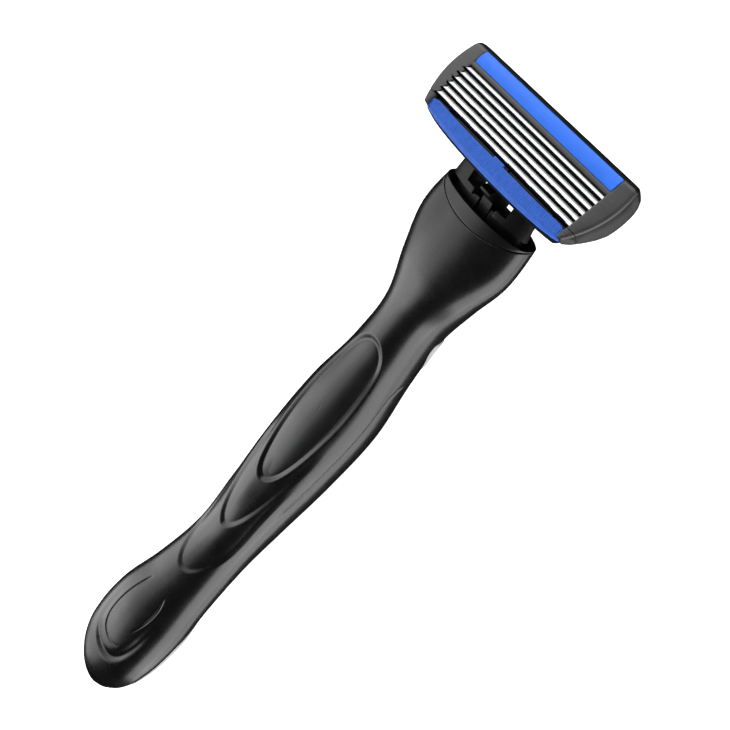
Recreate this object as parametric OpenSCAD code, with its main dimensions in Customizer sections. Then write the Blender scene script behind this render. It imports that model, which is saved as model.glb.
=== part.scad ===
// Cartridge razor with a pivoting six-blade head, lying on its back.
// X runs along the blades, +Y runs from the tail to the head and +Z points out of the
// blade side. The origin is under the middle of the razor, on the surface it lies on.

/* [Handle] */
// Half width of the head, just below the collar
head_half_w = 11.4; // [11:0.1:11.8]
// Half width of the neck
neck_half_w = 6.8; // [6.6:0.1:7.2]
// Half width of the belly
belly_half_w = 8.5; // [8.2:0.1:8.8]
// Half width of the tail
tail_half_w = 9.7; // [9.4:0.1:10]
// Wall thickness of the two shells
wall = 1.6; // [1.5:0.05:1.7]
// How square the cross-section is: 2 is an ellipse
section_power = 2.2; // [2.1:0.05:2.3]
// Height of the parting line, as a share of the half thickness (below mid height if negative)
parting_share = -0.5; // [-0.55:0.05:-0.45]
// Thickness of the grey inlay along the back
inlay_t = 1.1; // [1:0.1:1.2]
// Length of the oval thumb pad
pad_len = 34.6; // [33.6:0.2:35.4]
// Width of the oval thumb pad
pad_w = 9.8; // [9:0.2:10.4]

/* [Mechanism] */
// Tilt of the mechanism's axis in the neck, in degrees
mech_tilt = 12; // [11.5:0.5:12.5]
// Travel of the release button
button_travel = 3; // [2:0.25:3]
// Radius of the journals that the cartridge swings on
journal_r = 0.9; // [0.8:0.05:1]
// Radial clearance of the journals in their lugs
journal_gap = 0.05; // [0.03:0.01:0.08]
// Width of the plunger
plunger_w = 2.4; // [2.2:0.1:2.6]

/* [Cartridge] */
// Tilt of the blade face against the handle, in degrees
face_tilt = 17; // [16:0.5:18]
// Visible length of each blade
blade_len = 34; // [33:0.2:34.4]
// Distance from one cutting edge to the next
blade_pitch = 1.2; // [1.15:0.01:1.22]
// Angle of each blade against the face
blade_tilt = 25; // [23:1:27]
// Thickness of each blade
blade_t = 0.12; // [0.1:0.01:0.15]
// Length of the cartridge over its end caps
cart_len = 40.8; // [40.6:0.1:41.2]
// Width of the lubricating strip
strip_w = 2.65; // [2.4:0.05:2.7]

/* [Hidden] */

// Stations of the handle's body: y, half width, height of the front, height of the back.
// The back dips a little below the surface along the belly and is cut flat there.
ST = [[-73.2, 0.3, 8.6, 8.2],
      [-72.8, 1.8, 9.3, 7.5],
      [-71.7, 3.7, 10.3, 6.6],
      [-69.2, 6.2, 11.6, 5.6],
      [-64.7, 8.6, 12.7, 4.9],
      [-60.3, 9.5, 13.2, 3.9],
      [-52.3, tail_half_w, 13.2, 2.4],
      [-42.3, 8.1, 11.5, 1.2],
      [-30.3, 7.0, 10.3, -0.1],
      [-18.3, 7.55, 11.3, -0.6],
      [-4.3, belly_half_w, 12.45, -0.6],
      [9.7, belly_half_w + 0.05, 13, -0.1],
      [21.7, neck_half_w + 0.1, 13.5, 1.6],
      [31.7, neck_half_w - 0.1, 15, 3.6],
      [39.7, 9.15, 17.2, 6.7],
      [47.7, head_half_w, 18.2, 8.9],
      [53.7, head_half_w - 0.3, 18.35, 9.9],
      [60.2, head_half_w - 1.6, 18.2, 10.6]];

ny = 30;                       // even stations along the body
nt = 32;                       // points around a section
body_y = concat([-73.2, -73, -72.5, -71.7, -70.2, -68.2, -65.7],
                [for (i = [0:ny]) -62.7 + i * 122.4 / ny]);
cave_y = [for (i = [0:21]) -51 + i * 112.2 / 21];

mech_y = 48.2;                   // origin of the mechanism's own frame
mech_z = 13.3;
face_y = 65.74;                // middle of the blade face
face_z = 22.4;
piv_u = -3.2;                  // swing axis of the cartridge, in the face's frame
piv_n = -5.4;
cam_r = 0.9;                   // round cam behind the cartridge that the plunger meets
cam_gap = 0.1;

// the swing axis and the cam in the mechanism's frame
lean = mech_tilt + face_tilt;
piv_y = face_y + piv_u * cos(face_tilt) + piv_n * sin(face_tilt);
piv_z = face_z - piv_u * sin(face_tilt) + piv_n * cos(face_tilt);
piv_a = (piv_y - mech_y) * cos(mech_tilt) + (piv_z - mech_z) * sin(mech_tilt);
piv_b = -(piv_y - mech_y) * sin(mech_tilt) + (piv_z - mech_z) * cos(mech_tilt);
cam_da = 1.0;
cam_db = -3.1;
cam_a = piv_a + cam_da;
cam_b = piv_b + cam_db;
cam_u = piv_u + cam_da * cos(lean) - cam_db * sin(lean);
cam_n = piv_n + cam_da * sin(lean) + cam_db * cos(lean);
plunger_tip = cam_a - cam_r - cam_gap;

first_edge = -3.05;            // cutting edge nearest the guard
window_u0 = -3.5;              // blade window in the cap frame
window_u1 = 3.8;

black = [0.11, 0.11, 0.12];
satin = [0.16, 0.16, 0.17];
frame_grey = [0.27, 0.27, 0.27];
steel = [0.85, 0.86, 0.88];

// ---- smooth curve through the stations ----
function seg(y, i = 0) = (i >= len(ST) - 2 || y < ST[i + 1][0]) ? i : seg(y, i + 1);
function rise(i, k) = (ST[i + 1][k] - ST[i][k]) / (ST[i + 1][0] - ST[i][0]);
function slope(i, k) = i == 0 ? rise(0, k) : i == len(ST) - 1 ? rise(i - 1, k) :
    let (h0 = ST[i][0] - ST[i - 1][0], h1 = ST[i + 1][0] - ST[i][0])
    (rise(i - 1, k) * h1 + rise(i, k) * h0) / (h0 + h1);
function val(y, k) = let (i = seg(y), h = ST[i + 1][0] - ST[i][0], t = (y - ST[i][0]) / h)
    (2 * t * t * t - 3 * t * t + 1) * ST[i][k] + (t * t * t - 2 * t * t + t) * h * slope(i, k)
    + (3 * t * t - 2 * t * t * t) * ST[i + 1][k] + (t * t * t - t * t) * h * slope(i + 1, k);
function step01(a, b, y) = let (t = min(1, max(0, (y - a) / (b - a)))) t * t * (3 - 2 * t);
function spow(v, p) = sign(v) * pow(abs(v), p);
// wall thickness at the front is larger under the thumb pad, at the back under the inlay
function front_t(y) = wall + 0.8 * step01(-26, -20, y) * (1 - step01(24, 29, y));
function back_t(y) = wall + 0.7 * (1 - step01(33.6, 37, y));
// a section, drawn in by dw at the sides, df at the front and db at the back
function ring(y, dw, df, db) =
    let (w = max(0.1, val(y, 1) - dw), zt = val(y, 2) - df, zb = val(y, 3) + db,
         c = (zt + zb) / 2, h = max(0.1, (zt - zb) / 2))
    [for (k = [0:nt - 1]) let (q = 360 * k / nt)
        [w * spow(cos(q), 2 / section_power), y, c + h * spow(sin(q), 2 / section_power)]];
function part_z(y) = let (zt = val(y, 2), zb = val(y, 3))
    (zt + zb) / 2 + parting_share * (zt - zb) / 2;
// half width of the inlay, as a share of the body's
function inlay_share(y) = 0.56 + 0.4 * (1 - step01(-52, -36, y)) + 0.4 * step01(12, 22, y);

module loft(rings) {
    n = len(rings[0]);
    m = len(rings);
    polyhedron(points = [for (r = rings) for (p = r) p],
        faces = concat(
            [for (i = [0:m - 2]) for (k = [0:n - 1]) [i * n + k, i * n + (k + 1) % n, (i + 1) * n + k]],
            [for (i = [0:m - 2]) for (k = [0:n - 1]) [i * n + (k + 1) % n, (i + 1) * n + (k + 1) % n, (i + 1) * n + k]],
            [[for (k = [n - 1:-1:0]) k]],
            [[for (k = [0:n - 1]) (m - 1) * n + k]]));
}
// one mesh from the whole group
module as_mesh() { resize([0, 0, 0]) children(); }

module body_solid() loft([for (y = body_y) ring(y, 0, 0, 0)]);
module body_less(d) loft([for (y = body_y) ring(y, d, d, d)]);
module cavity() loft([for (y = cave_y) ring(y, wall, front_t(y), back_t(y))]);
module over_surface() translate([-30, -90, 0]) cube([60, 180, 40]);
// a solid across the whole width whose outline is drawn in Y and Z
module across(w) { rotate([90, 0, 90]) linear_extrude(w, center = true) children(); }
module front_side() across(40)
    polygon(concat([[-80, -5], [-71.75, -5]],
                   [for (i = [0:40]) let (y = -71.75 + i * 135.75 / 40) [y, part_z(min(60.2, y))]],
                   [[64, 40], [-80, 40]]));
// everything on the head's side of a slanting, bowed cut
module beyond(y0, lean_back, bow)
    multmatrix([[1, 0, 0, 0], [0, 1, -lean_back, lean_back * 17.8], [0, 0, 1, 0], [0, 0, 0, 1]])
    translate([0, 0, -5]) linear_extrude(40)
    polygon(concat([for (x = [-15:1.5:15]) [x, y0 + bow * x * x]], [[15, 90], [-15, 90]]));
module collar_cut() beyond(50.8, 0.5, 0.017);
module rim_cut() beyond(53.1, 0.42, 0.006);
module pad_outline() translate([0, 6.6, 7]) linear_extrude(40)
    polygon([for (k = [0:47]) let (q = 360 * k / 48)
        [pad_w / 2 * cos(q), pad_len / 2 * spow(sin(q), 0.9)]]);
module inlay_outline() translate([0, 0, -5]) linear_extrude(40)
    polygon(concat(
        [for (i = [0:40]) let (y = -71.8 + i * 105.4 / 40)
            [inlay_share(y) * val(y, 1) * sqrt(max(0, 1 - pow(step01(30, 33.4, y), 2))), y]],
        [for (i = [40:-1:0]) let (y = -71.8 + i * 105.4 / 40)
            [-inlay_share(y) * val(y, 1) * sqrt(max(0, 1 - pow(step01(30, 33.4, y), 2))), y]]));
// the inlay's pocket, open outwards
module inlay_room() difference() {
    intersection() { body_less(-1); inlay_outline(); }
    body_less(inlay_t);
    translate([0, 0, 0.9]) front_side_low();
}
module inlay_solid() intersection() { inlay_room(); body_solid(); over_surface(); }
// everything above a line a little below mid height
module front_side_low() across(40)
    polygon(concat([for (i = [0:40]) let (y = -80 + i * 144 / 40, v = max(-73.2, min(60.2, y)))
                    [y, (val(v, 2) + val(v, 3)) / 2 - 1.2]],
                   [[64, 40], [-80, 40]]));

// ---- frames ----
module in_mech() { translate([0, mech_y, mech_z]) rotate([mech_tilt, 0, 0]) children(); }
module in_face() { translate([0, face_y, face_z]) rotate([-face_tilt, 0, 0]) children(); }
// a box given by its two corners
module slab(p, q) { translate(p) cube(q - p); }
// a round bar along X
module xbar(x0, x1, y, z, r) { translate([x0, y, z]) rotate([0, 90, 0]) cylinder(h = x1 - x0, r = r, $fn = 40); }
// a flat link along X with two round ends of different radius
module link(x0, x1, p, r0, q, r1) {
    d = norm(q - p);
    f = atan2(q[1] - p[1], q[0] - p[0]);
    g = acos((r0 - r1) / d);
    xbar(x0, x1, p[0], p[1], r0);
    xbar(x0, x1, q[0], q[1], r1);
    translate([x0, 0, 0]) rotate([90, 0, 90]) linear_extrude(x1 - x0)
        polygon([p + r0 * [cos(f - g), sin(f - g)], q + r1 * [cos(f - g), sin(f - g)],
                 q + r1 * [cos(f + g), sin(f + g)], p + r0 * [cos(f + g), sin(f + g)]]);
}
module both() { children(); mirror([1, 0, 0]) children(); }
// a coil spring along +Y, from the origin
module coil(len, r, wire, turns) {
    n = round(turns * 14);
    loft([for (i = [0:n]) let (q = 360 * turns * i / n, y = wire + (len - 2 * wire) * i / n)
        [for (k = [0:7]) let (t = 360 * k / 8)
            [(r + wire * cos(t)) * cos(q), y + wire * sin(t), (r + wire * cos(t)) * sin(q)]]]);
}

// ---- handle ----
module handle_front_shell() color(black) as_mesh() difference() {
    intersection() { body_solid(); over_surface(); front_side(); }
    cavity();
    collar_cut();
    thumb_pad_room();
    inlay_room();
}
module thumb_pad_room() intersection() {
    pad_outline();
    difference() { translate([0, 0, 1]) body_solid(); body_less(1.3); }
}
module handle_rear_shell() color(satin) as_mesh() difference() {
    intersection() { body_solid(); over_surface(); }
    front_side();
    cavity();
    collar_cut();
    inlay_room();
    // way for the release button, and room for its plate inside
    in_mech() slab([-2.9, -13.3, -8], [2.9, -1.7, -1.5]);
    in_mech() slab([-3.3, -14.4, -3.3], [3.3, 2.6, -1.5]);
}
module rear_grip_inlay() color([0.72, 0.73, 0.74]) as_mesh() inlay_solid();
module thumb_pad() color([0.14, 0.14, 0.15]) as_mesh() intersection() {
    pad_outline();
    difference() { body_less(0.3); body_less(1.3); }
}
module head_collar() color([0.2, 0.2, 0.21]) as_mesh() difference() {
    intersection() { body_solid(); collar_cut(); }
    cavity();
    rim_cut();
}

// ---- mechanism, drawn in its own frame ----
// Guide for the plunger and the button, with the two prongs that the yoke docks on
module mechanism_chassis() color([0.2, 0.2, 0.22]) in_mech() {
    slab([-3.6, -18, -1.0], [3.6, -15.8, 2.2]);
    both() slab([1.6, -16, -1.0], [3.6, 4, 2.2]);
    slab([-3.6, -9, 2.0], [3.6, -3, 2.9]);
    slab([-1.8, -4.4, -1.0], [1.8, -3.6, -0.75]);
    slab([-0.7, -4.4, -2.9], [0.7, -3.6, -0.8]);
    both() slab([3.0, 3, -1.0], [4.4, 7, 1.0]);
    both() slab([3.4, -2, -1.0], [5.4, 1.5, 1.6]);
}
// Sprung finger that holds the cartridge forward
module plunger() color([0.17, 0.17, 0.18]) in_mech() {
    rotate([90, 0, 90]) linear_extrude(plunger_w, center = true)
        polygon([[-3.2, -0.5], [4.6, -0.5], [6.2, cam_b - 1.0], [plunger_tip, cam_b - 1.0],
                 [plunger_tip, cam_b + 0.6], [10.9, 2.9], [9.9, 4.3], [9.5, 4.3], [8.3, 2.2],
                 [6.4, 1.8], [-3.2, 1.8]]);
    translate([0, -9.2, 0.65]) rotate([-90, 0, 0]) cylinder(h = 6.2, r = 0.7, $fn = 32);
}
module plunger_spring() color(steel) in_mech() as_mesh()
    translate([0, -15.7, 0.65]) coil(12.4, 1.15, 0.17, 7);
// Thumb slide on the back; its plate runs inside the neck
module release_button() color([0.3, 0.3, 0.31]) in_mech() {
    difference() {
        slab([-3, -14, -3.0], [3, -1, -2.1]);
        slab([-1.25, -13, -4], [1.25, -3.4, 0]);
    }
    both() slab([1.4, -13, -5.6], [2.6, -5, -3.0]);
    translate([0, -14.6, -5.68]) rotate([4.8, 0, 0]) {
        slab([-3.8, 0, -0.9], [3.8, 13, 0]);
        for (i = [0:5]) slab([-3.2, 1.6 + i * 1.6, -1.35], [3.2, 2.4 + i * 1.6, -0.8]);
    }
}
module button_spring() color(steel) in_mech() as_mesh()
    translate([0, -12.95, -2.05]) coil(8.5, 0.75, 0.15, 7);
module ejector_fork() color([0.24, 0.24, 0.25]) in_mech() difference() {
    slab([-5, -3, -2.05], [5, 1.6, -1.2]);
    slab([-2, -1, -3], [2, 2, 0]);
}

// ---- connector between handle and cartridge ----
yoke_section = [for (k = [0:35]) let (q = 10 * k)
    [8.6 * spow(cos(q), 0.9), -0.42 + 2.42 * spow(sin(q), 0.9)]];
shoulder_section = [for (k = [0:35]) let (q = 10 * k)
    [10.2 * spow(cos(q), 0.9), -0.4 + 3.5 * spow(sin(q), 0.9)]];
module connector_yoke() color([0.15, 0.15, 0.16]) in_mech() {
    difference() {
        intersection() {
            translate([0, 14, 0]) rotate([90, 0, 0]) linear_extrude(9.1) polygon(yoke_section);
            translate([0, 0, -3]) linear_extrude(6)
                polygon([[-9, 4.9], [9, 4.9], [9, 10], [7.6, 12], [5.4, 12], [2.9, 9.2],
                         [-2.9, 9.2], [-5.4, 12], [-7.6, 12], [-9, 10]]);
        }
        // way for the plunger, with a thin floor left behind it
        slab([-1.6, 4, cam_b - 1.2], [1.6, 15, 5]);
        slab([-2.9, 7.4, -4], [2.9, 15, 5]);
        slab([-5.2, 8.3, -4], [5.2, 15, 5]);
        // sockets for the chassis prongs
        both() slab([2.9, 4, -1.1], [4.5, 7.2, 1.1]);
    }
    // shoulders that carry on the handle's outline
    both() intersection() {
        translate([0, 14, 0]) rotate([90, 0, 0]) linear_extrude(8) polygon(shoulder_section);
        translate([0, 0, 0.2]) linear_extrude(4)
            polygon([[2.9, 7.2], [9.6, 7.2], [8.9, 10.4], [8, 10.6], [5.2, 10.6], [5.2, 8.3], [2.9, 8.3]]);
    }
    both() {
        link(5.4, 7.6, [10.4, -0.4], 1.5, [piv_a, piv_b], 1.6);
        xbar(7.5, 9.3, piv_a, piv_b, journal_r);
    }
}

// ---- cartridge, drawn in the face's frame: X, U towards the cap, N out of the face ----
function end_x(u) = cart_len / 2 - 0.034 * pow(u - 3.2, 2);
function guard_u(x) = -5.35 - 1.6 * sqrt(max(0, 1 - pow(x / 17.9, 2)));
cap_side = [[window_u0, -0.15], [-2.8, 0], [6.9, 0], [7.6, -0.25], [8.05, -0.8], [8.3, -1.8],
            [8.3, -3], [7.9, -4.3], [6.9, -5.3], [5.8, -5.6], [0.8, -5.6], [-1, -5], [window_u0, -3.9]];
module u_outline(u0, u1, n) translate([0, 0, -8]) linear_extrude(10)
    polygon(concat([for (i = [0:n]) let (u = u0 + (u1 - u0) * i / n) [end_x(u), u]],
                   [for (i = [n:-1:0]) let (u = u0 + (u1 - u0) * i / n) [-end_x(u), u]]));
module cap_frame() color(frame_grey) in_face() difference() {
    intersection() {
        across(44) polygon(cap_side);
        u_outline(window_u0, 8.4, 10);
        across_corners();
    }
    slab([-blade_len / 2 - 0.4, window_u0 - 1, -8], [blade_len / 2 + 0.4, window_u1, 2]);
    // room behind the last blade and for the ribs of the guard frame
    slab([-17.4, 3.7, -8], [17.4, 4.3, -0.36]);
    slab([-17.4, 3.7, -8], [17.4, 4.65, -4]);
    // room for the lubricating strip, and the hollow behind it
    slab([-17, 4.6, -1.25], [17, 4.6 + strip_w, 2]);
    slab([-17.4, 5.1, -8], [17.4, 7, -2.2]);
}
// rounds the two cap corners
module across_corners() translate([0, 0, -8]) linear_extrude(10) union() {
    translate([-21, -5]) square([42, 11.6]);
    translate([-18.6, -5]) square([37.2, 13.6]);
    translate([-18.6, 6.6]) circle(r = 1.9, $fn = 40);
    translate([18.6, 6.6]) circle(r = 1.9, $fn = 40);
}
// Lower frame: guard bar, end corners, cross ribs, lugs and cam
module guard_frame() color([0.2, 0.2, 0.21]) in_face() difference() {
    union() {
        intersection() {
            across(44) polygon([[-7.1, -1.6], [-3.55, -1.35], [-3.55, -3.4], [-5.8, -3.5], [-7.1, -2.6]]);
            guard_outline(0);
        }
        // end corners
        both() intersection() {
            union() {
                slab([17.35, -6, -3.7], [21, -3.55, -0.12]);
                slab([16.6, -5.2, -3.3], [17.6, -3.55, -1.7]);
            }
            u_outline(-5.6, -3.5, 6);
        }
        // inner rails that carry the ends of the blade supports
        both() slab([17.45, -3.6, -3.7], [18.2, -3.5, -1.4]);
        // cross ribs under the blades, joined by a bar under the cap
        for (x = [-12.6, -8.5, 0, 8.5, 12.6])
            slab([x - 0.7, -4.5, -5.6], [x + 0.7, 4.4, -4.3]);
        for (x = [-12.6, -8.5, 0, 8.5, 12.6])
            slab([x - 0.7, -4.5, -4.4], [x + 0.7, -3.6, -3.0]);
        slab([-13.3, 3.9, -5.6], [13.3, 4.6, -4.3]);
        // lips under the guard
        both() slab([9.3, -6.5, -4.2], [10.5, -5.7, -3.3]);
        // bar behind the guard, with small drain gaps
        for (e = [[-17.4, -14.6], [-14.1, -7.2], [-6.8, 2.6], [3.0, 13.6], [14.2, 17.4]])
            slab([e[0], -3.65, -3.0], [e[1], -3.25, -1.35]);
        // swing lugs
        both() {
            xbar(7.8, 9.2, piv_u, piv_n, 1.6);
            slab([7.8, piv_u - 1.5, piv_n], [9.2, piv_u + 1.5, -4.35]);
            slab([7.8, piv_u - 1.5, -4.5], [9.2, -3.6, -3.0]);
        }
        // cam
        xbar(-1.3, 1.3, cam_u, cam_n, cam_r);
        link(-1.3, 1.3, [piv_u + 0.2, piv_n], 0.6, [cam_u, cam_n], 0.6);
    }
    both() xbar(7, 10, piv_u, piv_n, journal_r + journal_gap);
    // clearance for the tips of the yoke's arms
    both() slab([5.2, -6.9, -8], [7.8, -1.2, -3.75]);
}
module guard_outline(d) translate([0, 0, -8]) linear_extrude(10)
    polygon(concat([for (i = [0:36]) let (x = -17.3 + i * 34.6 / 36) [x, guard_u(x) + d]],
                   [[17.3, -3.55 - d], [-17.3, -3.55 - d]]));
module guard_strip() color([0.25, 0.38, 0.75]) in_face() intersection() {
    across(44) polygon([[-6.95, -1.5], [-3.75, -1.3], [-3.75, -0.35], [-4.6, -0.2], [-6.1, -0.45], [-6.7, -0.9]]);
    guard_outline(0.1);
}
module lubricating_strip() color([0.3, 0.54, 0.98]) in_face() across(33.9)
    polygon([[4.62, -1.2], [4.6 + strip_w - 0.02, -1.2], [4.6 + strip_w - 0.02, -0.1],
             [6.8, 0.12], [5.9, 0.24], [5.1, 0.18], [4.62, 0]]);
// each blade is a thin strip whose edge lies in the face
module blade(i) color(steel) in_face()
    translate([0, first_edge + (i - 1) * blade_pitch, 0]) rotate([-blade_tilt, 0, 0])
    translate([-blade_len / 2 - 0.3, 0, 0]) rotate([90, 0, 90]) linear_extrude(blade_len + 0.6)
    polygon([[0, 0], [0.3, -blade_t], [0.74, -blade_t], [0.74, 0.01], [0.32, 0.01]]);
// bent carrier under each blade
module blade_support(i) color([0.55, 0.56, 0.58]) in_face()
    translate([0, first_edge + (i - 1) * blade_pitch, 0]) {
        c = cos(blade_tilt);
        s = sin(blade_tilt);
        translate([-blade_len / 2 - 0.3, 0, 0]) rotate([90, 0, 90]) linear_extrude(blade_len + 0.6)
            polygon([[0.4 * c - (blade_t + 0.01) * s, -0.4 * s - (blade_t + 0.01) * c],
                     [0.4 * c - (blade_t + 0.16) * s, -0.4 * s - (blade_t + 0.16) * c],
                     [0.84, -0.75], [0.84, -4.1], [1.02, -4.1],
                     [1.02, -1.02 * s / c - blade_t / c - 0.01]]);
    }

handle_front_shell();
handle_rear_shell();
rear_grip_inlay();
thumb_pad();
head_collar();
mechanism_chassis();
plunger();
plunger_spring();
release_button();
button_spring();
ejector_fork();
connector_yoke();
cap_frame();
guard_frame();
guard_strip();
lubricating_strip();
blade(1);  // blade_1
blade(2);  // blade_2
blade(3);  // blade_3
blade(4);  // blade_4
blade(5);  // blade_5
blade(6);  // blade_6
blade_support(1);  // blade_support_1
blade_support(2);  // blade_support_2
blade_support(3);  // blade_support_3
blade_support(4);  // blade_support_4
blade_support(5);  // blade_support_5
blade_support(6);  // blade_support_6
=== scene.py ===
import math

import bmesh
import bpy
import numpy as np
from mathutils import Matrix, Vector


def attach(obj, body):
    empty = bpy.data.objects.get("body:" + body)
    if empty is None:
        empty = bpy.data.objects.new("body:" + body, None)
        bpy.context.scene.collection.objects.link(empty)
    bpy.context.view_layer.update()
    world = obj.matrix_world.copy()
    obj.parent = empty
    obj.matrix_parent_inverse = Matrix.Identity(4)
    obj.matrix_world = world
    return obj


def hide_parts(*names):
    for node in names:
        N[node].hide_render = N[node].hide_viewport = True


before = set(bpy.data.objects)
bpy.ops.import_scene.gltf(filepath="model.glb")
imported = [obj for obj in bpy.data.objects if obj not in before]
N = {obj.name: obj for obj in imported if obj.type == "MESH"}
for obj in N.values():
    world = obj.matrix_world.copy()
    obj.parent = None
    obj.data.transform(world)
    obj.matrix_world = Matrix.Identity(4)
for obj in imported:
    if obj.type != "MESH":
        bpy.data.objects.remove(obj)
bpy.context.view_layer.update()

# ------------------------------------------------------------------ the handle's form
HEAD, NECK, BELLY, TAIL = 11.4, 6.8, 8.5, 9.7
ST = np.array([
    [-73.2, 0.3, 8.6, 8.2], [-72.8, 1.8, 9.3, 7.5], [-71.7, 3.7, 10.3, 6.6],
    [-69.2, 6.2, 11.6, 5.6], [-64.7, 8.6, 12.7, 4.9], [-60.3, 9.5, 13.2, 3.9],
    [-52.3, TAIL, 13.2, 2.4], [-42.3, 8.1, 11.5, 1.2], [-30.3, 7.0, 10.3, -0.1],
    [-18.3, 7.55, 11.3, -0.6], [-4.3, BELLY, 12.45, -0.6], [9.7, BELLY + 0.05, 13, -0.1],
    [21.7, NECK + 0.1, 13.5, 1.6], [31.7, NECK - 0.1, 15, 3.6], [39.7, 9.15, 17.2, 6.7],
    [47.7, HEAD, 18.2, 8.9], [53.7, HEAD - 0.3, 18.35, 9.9], [60.2, HEAD - 1.6, 18.2, 10.6]])
POWER = 2.2
PARTING = -0.5
Y0 = ST[0][0]


def val(y, k):
    Y, V = ST[:, 0], ST[:, k]
    h = np.diff(Y)
    r = np.diff(V) / h
    m = np.empty(len(Y))
    m[0], m[-1] = r[0], r[-1]
    m[1:-1] = (r[:-1] * h[1:] + r[1:] * h[:-1]) / (h[:-1] + h[1:])
    y = np.asarray(y, float)
    i = np.clip(np.searchsorted(Y, y, side="right") - 1, 0, len(Y) - 2)
    t = (y - Y[i]) / h[i]
    return ((2 * t**3 - 3 * t**2 + 1) * V[i] + (t**3 - 2 * t**2 + t) * h[i] * m[i]
            + (3 * t**2 - 2 * t**3) * V[i + 1] + (t**3 - t**2) * h[i] * m[i + 1])


def step01(a, b, v):
    t = np.clip((np.asarray(v, float) - a) / (b - a), 0, 1)
    return t * t * (3 - 2 * t)


def spow(v, p):
    return np.sign(v) * np.abs(v) ** p


def surf(y, q):
    """A point of the handle's surface at y and angle q (radians, 0 at +X, 90 degrees at the top)."""
    w = np.maximum(val(y, 1), 0.05)
    zt, zb = val(y, 2), val(y, 3)
    c, h = (zt + zb) / 2, np.maximum((zt - zb) / 2, 0.05)
    return np.stack([w * spow(np.cos(q), 2 / POWER), y + 0 * q, c + h * spow(np.sin(q), 2 / POWER)], -1)


def inlay_share(y):
    s = 0.56 + 0.43 * (1 - step01(-52, -36, y)) + 0.425 * step01(17, 29, y)
    return s * np.sqrt(np.maximum(0, 1 - step01(30, 33.4, y) ** 2))


def angle_of_share(s):
    return np.arccos(np.clip(s, 0, 1) ** (POWER / 2))


Q_PART = -np.arcsin(abs(PARTING) ** (POWER / 2))


def q_inlay(y):
    """Angle below the side at which the inlay's edge lies, on the +X side."""
    s = np.where((y > -71.8) & (y < 33.4), inlay_share(y), 0)
    return -angle_of_share(s)


def q_front(y):
    return np.maximum(Q_PART, q_inlay(y))


def table(ys, qa, qb, frac):
    """Angles at equal shares of arc length between qa(y) and qb(y), for each y."""
    out = np.empty((len(ys), len(frac)))
    u = np.linspace(0, 1, 500)
    for i, y in enumerate(ys):
        a, b = qa[i], qb[i]
        q = a + (b - a) * u
        p = surf(np.full(500, y), q)
        L = np.r_[0, np.cumsum(np.linalg.norm(np.diff(p, axis=0), axis=1))]
        out[i] = np.interp(np.asarray(frac) * L[-1], L, q)
    return out


def normals(P):
    du = np.gradient(P, axis=0)
    dv = np.gradient(P, axis=1)
    n = np.cross(du, dv)
    l = np.linalg.norm(n, axis=-1, keepdims=True)
    return n / np.maximum(l, 1e-9)


def outline(points, closed=True, k=10):
    """A smooth curve through given points."""
    p = np.array(points, float)
    n = len(p)
    out = []
    rng = range(n) if closed else range(n - 1)
    for i in rng:
        if closed:
            a, b, c, d = p[i - 1], p[i], p[(i + 1) % n], p[(i + 2) % n]
        else:
            a, b, c, d = p[max(i - 1, 0)], p[i], p[i + 1], p[min(i + 2, n - 1)]
        for t in np.arange(k) / k:
            out.append(0.5 * (2 * b + (c - a) * t + (2 * a - 5 * b + 4 * c - d) * t * t
                              + (3 * b - a - 3 * c + d) * t**3))
    if not closed:
        out.append(p[-1])
    return np.array(out)


def near(x, y, line, closed):
    """Distance from each point to a polyline, and the place along it as an index."""
    pts = np.stack([x.ravel(), y.ravel()], -1)
    a = line
    b = np.roll(line, -1, axis=0) if closed else line[1:]
    if not closed:
        a = line[:-1]
    best = np.full(len(pts), 1e9)
    where = np.zeros(len(pts))
    for i in range(len(a)):
        d = b[i] - a[i]
        t = np.clip(((pts - a[i]) @ d) / max(d @ d, 1e-12), 0, 1)
        r = np.hypot(*(pts - a[i] - t[:, None] * d).T)
        m = r < best
        best[m] = r[m]
        where[m] = i + t[m]
    return best.reshape(x.shape), where.reshape(x.shape)


def inside(x, y, line):
    r = np.zeros(x.shape, bool)
    n = len(line)
    for i in range(n):
        (x0, y0), (x1, y1) = line[i], line[(i + 1) % n]
        c = ((y0 > y) != (y1 > y))
        with np.errstate(divide="ignore", invalid="ignore"):
            r ^= c & (x < (x1 - x0) * (y - y0) / (y1 - y0 + 1e-12) + x0)
    return r


def mirrored(right):
    """A closed outline from its +X half, listed from top to bottom."""
    r = [tuple(p) for p in right]
    return r + [(-x, y) for x, y in reversed(r) if abs(x) > 1e-6]


OVAL_A = outline(mirrored([(0, 24.9), (2.2, 24.2), (4.0, 21.9), (5.2, 17.2), (5.75, 9.5), (5.45, 3.0),
                           (4.7, -3.0), (3.5, -7.8), (2.0, -10.6), (0, -11.7)]))
OVAL_B = outline(mirrored([(0, 33.0), (3.2, 31.0), (5.4, 26.5), (6.6, 21), (7.0, 16), (7.15, 10.5), (7.0, 4.2),
                           (6.55, -2.7), (5.95, -8.2), (5.25, -13.1), (4.35, -17.7), (3.2, -21.4), (1.8, -23.8), (0, -24.9)]))
OVAL_C = outline(mirrored([(0, 36.0), (4.0, 32.5), (6.2, 26.5), (7.0, 21.3), (7.6, 15.4), (8.05, 5.5), (7.4, -3.5), (6.6, -10.8),
                           (6.2, -17), (6.0, -24.2), (5.5, -29.5), (4.3, -34.0), (2.4, -37.0), (0, -38.1)]))
U_LEFT = outline([(-2.9, -44.3), (-3.9, -48.7), (-4.25, -53.1), (-3.9, -56.7), (-2.75, -58.8), (-0.9, -59.7),
                  (1.1, -59.8), (2.6, -59.2), (3.6, -57.8)], closed=False)
U_RIGHT = outline([(2.6, -44.4), (3.6, -46.6), (3.95, -49.2), (3.7, -51.9), (3.0, -54.6)], closed=False)
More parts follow.
